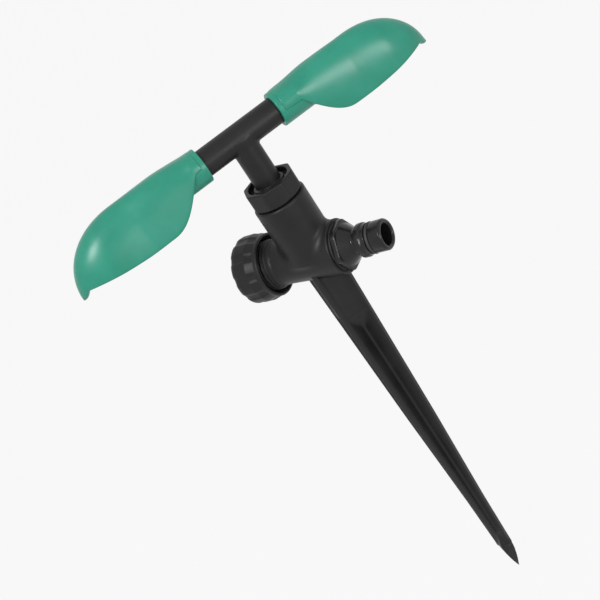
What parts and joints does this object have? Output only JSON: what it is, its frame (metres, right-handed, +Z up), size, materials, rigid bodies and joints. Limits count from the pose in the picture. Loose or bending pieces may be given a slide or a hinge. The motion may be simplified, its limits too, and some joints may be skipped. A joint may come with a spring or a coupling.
{
  "type": "rotary lawn sprinkler",
  "caption": "Lawn sprinkler on a ground spike: a T-shaped rotor with a hooded scoop on each arm spins on a barrel with a hose nipple and a screw cap.",
  "frame": {"origin": "the tip of the ground spike, on the rotor's spin axis", "axes": "+Z up along the spike and the spin axis, +X out of the hose nipple, the screw cap at -X, +Y completes the right-handed frame"},
  "size_m": [0.1428, 0.1552, 0.3299],
  "materials": {
    "black_plastic": "satin moulded",
    "green_plastic": "satin moulded",
    "rubber": "moulded",
    "acetal": "turned",
    "steel": "spring steel"
  },
  "bodies": {
    "base": {"spike": "black_plastic", "body": "black_plastic", "inlet_connector": "black_plastic", "inlet_washer": "rubber", "nipple_o_ring": "rubber", "retaining_nut": "black_plastic", "bearing_bush": "acetal", "bush_seal": "rubber", "stem_o_ring": "rubber", "upper_thrust_washer": "black_plastic", "lower_thrust_washer": "acetal"},
    "rotor": {"arm_tee": "black_plastic", "stem_clip": "steel", "nozzle_right": "black_plastic", "nozzle_left": "black_plastic", "arm_ring_right": "rubber", "arm_ring_left": "rubber"},
    "right_deflector": {"scoop_right": "green_plastic"},
    "left_deflector": {"scoop_left": "green_plastic"},
    "cap_seal": {"cap_washer": "rubber"},
    "cap": {"end_cap": "black_plastic"}
  },
  "joints": [
    {"name": "rotor_spin", "type": "hinge", "parent": "base", "child": "rotor", "pos_m": [0, 0, 0.3193], "axis": [0, 0, 1], "continuous": true},
    {"name": "scoop_right_turn", "type": "hinge", "parent": "rotor", "child": "right_deflector", "pos_m": [0, 0, 0.3193], "axis": [0.682, 0.7314, 0], "range_deg": [-90, 90]},
    {"name": "scoop_left_turn", "type": "hinge", "parent": "rotor", "child": "left_deflector", "pos_m": [0, 0, 0.3193], "axis": [-0.682, -0.7314, 0], "range_deg": [-90, 90]},
    {"name": "cap_travel", "type": "slide", "parent": "base", "child": "cap_seal", "axis": [-1, 0, 0], "range_m": [0, 0.0109]},
    {"name": "cap_turn", "type": "hinge", "parent": "cap_seal", "child": "cap", "pos_m": [-0.033, 0, 0.2476], "axis": [-1, 0, 0], "range_deg": [0, 2160]}
  ],
  "couplings": [
    {"joint": "cap_travel", "follows": "cap_turn", "m_per_rad": 0.00028871}
  ]
}
